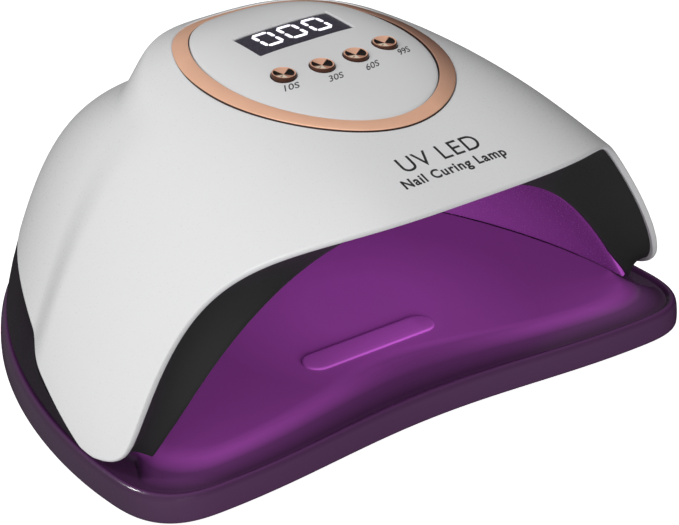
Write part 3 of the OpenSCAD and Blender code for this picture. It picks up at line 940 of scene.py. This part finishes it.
def finish(name, colour, rough=0.35, metal=0.0, tint=0.05, blotch=40.0, grain=1800.0, bump=0.06,
           **extra):
    """A moulded or machined finish: colour, roughness and bump all follow procedural noise."""
    shader = Shader(name)
    cloud = shader.noise(blotch, 4)
    fine = shader.noise(grain, 2)
    base = shader.mix(shader.spread(cloud, 0, 1, 0.3, 0.7), scaled(colour, 1 - tint),
                      scaled(colour, 1 + tint))
    shader.set(Base_Color=base, Metallic=metal,
               Roughness=shader.spread(fine, rough * 0.82, rough * 1.18, 0.3, 0.7), **extra)
    shader.bump(fine, bump, 0.0001)
    return shader


def tray_finish():
    """Purple gloss with painted shade: darker away from the painted pool of light at the hand's
    place, and darker down the rolled edge and the rim.
    """
    shader = Shader("tray_purple")
    height = shader.axis(2)
    cloud = shader.noise(22, 3)
    wobble = shader.math("ADD", height, shader.spread(cloud, -0.00012, 0.00012))
    floor_colour = screen(137, 62, 145)
    # Painted shade: lower heights get darker purple, down the rolled front edge, the groove and the
    # rim.
    height_shade = shader.ramp(shader.spread(wobble, 0, 1, 9.0 * MM, (FLOOR_Z + 1.0) * MM), (
        (0.0, screen(44, 26, 46)), (0.22, screen(38, 18, 40)), (0.45, screen(58, 28, 62)),
        (0.7, screen(70, 33, 75)), (0.8, screen(88, 41, 94)), (0.845, floor_colour),
        (1.0, floor_colour)))
    # Painted pool of light: the floor's colour is brightest round this centre and is painted darker
    # out to 58 mm away.
    hand = Vector(PAINTED_LIGHT_CENTRE + (FLOOR_Z,)) * MM
    apart = shader.add("ShaderNodeVectorMath", {0: shader.where, 1: hand}, operation="DISTANCE")
    shade = shader.spread(apart.outputs["Value"], 0, 1, 20 * MM, 58 * MM)
    floor_share = shader.spread(height, 0, 1, 12.5 * MM, 14 * MM)
    dimmed = shader.mix(shader.math("MULTIPLY", shade, floor_share), height_shade,
                        screen(108, 48, 114))
    rough = shader.uneven(900, 0.19, 0.27)
    shader.set(Base_Color=dimmed, Roughness=rough, Specular_IOR_Level=0.3)
    shader.bump(shader.noise(1500, 2), 0.04, 0.0001)
    return shader


def ring_finish():
    """Satin rose gold with painted shade: browner and darker on the right, and painted dark on the
    walls that frame the band, for the shade in the gaps beside it.
    """
    shader = Shader("ring_rose")
    # Painted shade: towards +X the satin colour is mixed to a darker brown.
    shade = shader.spread(shader.axis(0), 0, 1, 12 * MM, 40 * MM)
    facing = shader.axis(2, shader.add("ShaderNodeTexCoord").outputs["Normal"])
    wall = shader.spread(facing, 1, 0, 0.45, 0.7)
    cloud = shader.noise(60, 3)
    satin = shader.mix(shader.spread(cloud, 0, 1, 0.3, 0.7), screen(248, 192, 160),
                       screen(255, 200, 168))
    satin_shaded_right = shader.mix(shade, satin, screen(152, 112, 96))
    # Painted shade: the band's sideways-facing walls are painted dark brown for the shade in the
    # gaps.
    shader.set(Base_Color=shader.mix(wall, satin_shaded_right, screen(58, 34, 26)), Metallic=0.3,
               Roughness=shader.uneven(3000, 0.28, 0.36))
    shader.bump(shader.noise(2500, 2), 0.04, 0.0001)
    return shader


def spun_glint_finish():
    """Rose-gold metal with painted reflections: the wedge-shaped glints and dark wedges of a
    lathe-turned face are painted into its colour.
    """
    shader = Shader("spun_copper_painted_glints")
    place = shader.add("ShaderNodeTexCoord").outputs["Generated"]
    x = shader.math("SUBTRACT", shader.axis(0, place), 0.5)
    y = shader.math("SUBTRACT", shader.axis(1, place), 0.5)
    radius = shader.math("SQRT", shader.math("ADD", shader.math("MULTIPLY", x, x),
                                             shader.math("MULTIPLY", y, y)))
    angle = shader.spread(shader.math("ARCTAN2", y, x), 0, 1, -math.pi, math.pi)
    copper, dark, glint = screen(238, 184, 156), screen(16, 8, 6), screen(255, 244, 222)
    brown, pink = screen(150, 92, 70), screen(206, 150, 126)
    # Painted reflections: bright glints and dark wedges laid out by the angle round the cap's axis,
    # fixed in the colour.
    painted_wedges = shader.ramp(angle, (
        (0.0, brown), (0.05, glint), (0.08, glint), (0.105, brown), (0.125, glint), (0.2, glint),
        (0.22, pink), (0.3, pink), (0.32, dark), (0.565, dark), (0.59, copper), (0.825, copper),
        (0.845, dark), (0.98, dark), (1.0, brown)))
    dish = shader.math("LESS_THAN", radius, 0.42)
    side = shader.math("GREATER_THAN", radius, 0.475)
    # Painted dark reflection on the cap's side wall; the rim between the dish and the side keeps
    # plain copper.
    base = shader.mix(side, shader.mix(dish, copper, painted_wedges), screen(84, 52, 40))
    rings = shader.math("SINE", shader.math("MULTIPLY", radius, 260.0))
    shader.set(Base_Color=base, Metallic=0.25, Specular_IOR_Level=0.25,
               Roughness=shader.spread(rings, 0.24, 0.34, -1, 1))
    shader.bump(rings, 0.12, 0.00002)
    return shader


def glass_finish():
    """Smoked display glass over a dark carrier with a faint dot pattern."""
    shader = Shader("display_smoke")
    dots = shader.add("ShaderNodeTexVoronoi", {"Vector": shader.where, "Scale": 1300.0}).outputs[0]
    base = shader.mix(shader.spread(dots, 0, 1, 0.2, 0.6), screen(68, 65, 74), screen(56, 52, 64))
    shader.set(Base_Color=base, Roughness=shader.uneven(300, 0.3, 0.4), Specular_IOR_Level=0.15)
    shader.bump(dots, 0.03, 0.00005)
    return shader


def lit_finish():
    """White light of the display's bars, a little uneven as real segments are."""
    shader = Shader("lit_bars")
    glow = shader.noise(700, 2)
    light = shader.mix(shader.spread(glow, 0, 1, 0.35, 0.65), screen(236, 232, 255),
                       screen(255, 255, 255))
    shader.set(Base_Color=light, Roughness=shader.spread(glow, 0.35, 0.5), Emission_Color=light,
               Emission_Strength=shader.spread(glow, 0.75, 0.95, 0.3, 0.7))
    shader.bump(glow, 0.05, 0.00005)
    return shader


def board_finish():
    """Green board with a faint pattern of copper tracks."""
    shader = Shader("board_mask")
    tracks = shader.add("ShaderNodeTexBrick", {
        "Vector": shader.where, "Scale": 160.0, "Mortar Size": 0.03,
        "Color1": screen(20, 92, 52), "Color2": screen(18, 84, 48), "Mortar": screen(44, 132, 74)})
    shader.set(Base_Color=tracks.outputs[0],
               Roughness=shader.uneven(800, 0.35, 0.5))
    shader.bump(tracks.outputs[1], 0.3, 0.00005)
    return shader


WHITE = finish("shell_white", screen(226, 226, 227), 0.32, tint=0.008, blotch=9, bump=0.03,
               Coat_Weight=0.25, Coat_Roughness=0.2)
PANEL = finish("panel_white", screen(222, 222, 223), 0.34, tint=0.008, blotch=14, bump=0.03)
TRAY = tray_finish()
LINER = finish("liner_purple", screen(123, 55, 131), 0.24, tint=0.03, blotch=16, bump=0.03)
BAND = finish("band_dark", screen(36, 29, 38), 0.32, tint=0.06, bump=0.03, Specular_IOR_Level=0.04)
SATIN = finish("bezel_black", screen(50, 50, 50), 0.45, tint=0.04, bump=0.08,
               Specular_IOR_Level=0.3)
RING = ring_finish()
SPUN_GLINTS = spun_glint_finish()
GLASS = glass_finish()
LIT = lit_finish()
INK = finish("label_ink", screen(26, 26, 28), 0.5, tint=0.08, bump=0.05)
RUBBER = finish("rubber", screen(34, 34, 35), 0.75, tint=0.12, bump=0.25)
BOARD = board_finish()
BLACK = finish("black_plastic", screen(30, 30, 31), 0.4, tint=0.08, bump=0.1)
NICKEL = finish("nickel", screen(188, 188, 192), 0.25, 1.0, tint=0.04, bump=0.05)
STEEL = finish("screw_steel", screen(170, 172, 176), 0.32, 1.0, tint=0.06, bump=0.1)
BRASS = finish("spacer_brass", screen(206, 176, 104), 0.3, 1.0, tint=0.05, bump=0.05)
RESIN = finish("led_resin", screen(240, 232, 190), 0.15, tint=0.05, blotch=500, bump=0.02,
               Transmission_Weight=0.25, Coat_Weight=0.6)
ALUMINIUM = finish("led_board", screen(206, 208, 210), 0.42, 1.0, tint=0.05, bump=0.08)
PARTS = finish("components", screen(58, 60, 70), 0.45, tint=0.25, blotch=120, bump=0.1)
RED = finish("wire_red", screen(170, 34, 36), 0.4, tint=0.06, bump=0.05)


# ---- assembly ----

def paint(piece, shader):
    piece.data.materials.clear()
    piece.data.materials.append(shader.material)


def dress(piece, body, shader, slot, *nodes):
    """Gives a finished piece its material, its CAD body and the nodes that it stands for."""
    paint(piece, shader)
    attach(piece, body)
    if nodes:
        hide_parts(*nodes)


dress(make_tray(), "base", TRAY, "purple_gloss", "base_tray")
dress(make_finger_bar(), "base", TRAY, "purple_gloss")
dress(make_top_shell(), "housing", WHITE, "white_gloss", "top_shell")
dress(make_lower_frame(), "housing", BAND, "dark_gloss", "lower_frame")
dress(make_bezel(), "housing", SATIN, "black_satin", "front_bezel")
dress(make_liner(), "housing", LINER, "purple_liner", "reflector")
dress(make_led_beads(), "housing", RESIN, "led_resin", "led_beads")
dress(make_trim_ring(), "housing", RING, "rose_gold", "trim_ring")
dress(make_control_panel(), "housing", PANEL, "panel_white", "control_panel")
dress(make_window(), "housing", GLASS, "smoked_window", "display_window")
dress(make_digits(), "housing", LIT, "lit_digits", "display_digits")
dress(make_time_labels(), "housing", INK, "black_satin")
dress(make_front_words(), "housing", INK, "black_satin")
for time in TIMES:
    dress(make_cap(time), "button_" + time, SPUN_GLINTS, "rose_gold_button", "button_cap_" + time)

KEPT = {
    "rubber_feet": RUBBER, "tray_magnets": NICKEL, "strike_plates": NICKEL,
    "shell_screws": STEEL, "board_screws": STEEL, "board_standoffs": BRASS,
    "control_board": BOARD, "driver_board": BOARD, "display_module": BLACK,
    "tact_switches": BLACK, "dc_socket": BLACK, "ir_sensor": GLASS, "led_boards": ALUMINIUM,
    "driver_components": PARTS, "wire_harness": RED,
}
for time in TIMES:
    KEPT["button_stem_" + time] = BLACK
for node, shader in KEPT.items():
    paint(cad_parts[node], shader)


# ---- floor, light and camera ----

def make_floor():
    """A pale floor that looks white to the camera and takes the lamp's soft shadow."""
    half = 3.0
    mesh = bpy.data.meshes.new("floor")
    mesh.from_pydata([(-half, -half, 0), (half, -half, 0), (half, half, 0), (-half, half, 0)],
                     [], [(0, 1, 2, 3)])
    floor = make_object("floor", mesh)
    shader = Shader("floor_pale")
    pale = shader.mix(shader.noise(3, 2), (0.93, 0.93, 0.93, 1), (0.95, 0.95, 0.95, 1))
    seen = shader.add("ShaderNodeLightPath").outputs["Is Camera Ray"]
    shader.set(Base_Color=pale, Roughness=0.9, Specular_IOR_Level=0.0,
               Emission_Color=(1, 1, 1, 1), Emission_Strength=shader.spread(seen, 0.5, 1.0))
    mesh.materials.append(shader.material)
    floor.visible_glossy = False


def outwards(azimuth, elevation):
    """Direction away from the object in degrees; azimuth 0 is in front and 90 to its right."""
    a, e = math.radians(azimuth), math.radians(elevation)
    return Vector((math.sin(a) * math.cos(e), -math.cos(a) * math.cos(e), math.sin(e)))


def softbox(name, azimuth, elevation, distance, size, power):
    """A rectangular lamp aimed at the object."""
    away = outwards(azimuth, elevation)
    light = bpy.data.lights.new(name, "AREA")
    light.shape = "RECTANGLE"
    light.size, light.size_y = size
    light.energy = power
    lamp = bpy.data.objects.new(name, light)
    lamp.location = (cad_low + cad_high) / 2 + away * distance
    lamp.rotation_euler = away.to_track_quat("Z", "Y").to_euler()
    bpy.context.scene.collection.objects.link(lamp)
    return lamp


def piece_group(name, pieces):
    """A collection of pieces for light linking, outside the scene's own collections."""
    group = bpy.data.collections.new(name)
    for piece in pieces:
        group.objects.link(bpy.data.objects[piece])
    return group


def light_only(lamp, lit, shading=None):
    """Limits a lamp to the pieces it lights and, if given, the pieces that can shade them."""
    lamp.light_linking.receiver_collection = piece_group(lamp.name + "_lit", lit)
    if shading is not None:
        lamp.light_linking.blocker_collection = piece_group(lamp.name + "_shading", shading)


def make_world():
    """White to the camera; to everything else a soft room that is brightest at the upper left."""
    world = bpy.data.worlds.new("studio")
    world.use_nodes = True
    tree = world.node_tree
    tree.nodes.clear()
    out = tree.nodes.new("ShaderNodeOutputWorld")
    path = tree.nodes.new("ShaderNodeLightPath")
    room = tree.nodes.new("ShaderNodeBackground")
    seen = tree.nodes.new("ShaderNodeBackground")
    mix = tree.nodes.new("ShaderNodeMixShader")
    room.inputs[0].default_value = (1, 1, 1, 1)
    where = tree.nodes.new("ShaderNodeTexCoord")
    along = tree.nodes.new("ShaderNodeVectorMath")
    along.operation = "DOT_PRODUCT"
    along.inputs[1].default_value = BRIGHT_SIDE
    level = tree.nodes.new("ShaderNodeMapRange")
    facing = (-0.7, 1.0)
    for index, value in zip((1, 2, 3, 4), facing + ROOM_LIGHT):
        level.inputs[index].default_value = value
    tree.links.new(where.outputs["Generated"], along.inputs[0])
    tree.links.new(along.outputs["Value"], level.inputs[0])
    tree.links.new(level.outputs[0], room.inputs[1])
    seen.inputs[1].default_value = 1.0
    seen.inputs[0].default_value = (1, 1, 1, 1)
    tree.links.new(path.outputs["Is Camera Ray"], mix.inputs[0])
    tree.links.new(room.outputs[0], mix.inputs[1])
    tree.links.new(seen.outputs[0], mix.inputs[2])
    tree.links.new(mix.outputs[0], out.inputs[0])
    bpy.context.scene.world = world


def make_camera():
    """The camera looks down at the lamp's front left corner through a long lens."""
    distance = 1.11
    aim = Vector((0.0, -0.031, 0.038))
    back = outwards(-38, 27)
    data = bpy.data.cameras.new("camera")
    data.sensor_width = 36
    data.lens = 180.5
    camera = bpy.data.objects.new("camera", data)
    camera.location = aim + back * distance
    camera.rotation_euler = back.to_track_quat("Z", "Y").to_euler()
    bpy.context.scene.collection.objects.link(camera)
    bpy.context.scene.camera = camera


PURPLE = ("tray", "finger_bar", "cavity_liner")
OTHERS = [piece.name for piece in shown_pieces() if piece.name not in PURPLE + ("lower_frame_band",)]
make_floor()
make_world()
light_only(softbox("key", -78, 42, 1.4, (0.9, 0.7), 7), OTHERS)
light_only(softbox("top", 10, 82, 1.3, (1.0, 1.0), 3), OTHERS)
floor_fill = softbox("floor_fill", 15, 78, 1.2, (1.2, 1.2), 9.5)
cavity_fill = softbox("cavity_fill", -15, 10, 1.2, (0.8, 0.4), 30)
for fill in (floor_fill, cavity_fill):
    fill.visible_glossy = False
light_only(floor_fill, ("tray", "finger_bar"), ("finger_bar",))
light_only(cavity_fill, PURPLE, ("finger_bar",))
light_only(softbox("corner_glint", -118, 37, 1.3, (0.12, 0.3), 16), ("tray",), ())
light_only(softbox("bar_glint", 86, 56, 1.3, (0.5, 0.12), 2), ("finger_bar",), ())
make_camera()
bpy.context.scene.view_settings.view_transform = "Standard"
bpy.context.scene.view_settings.look = "None"
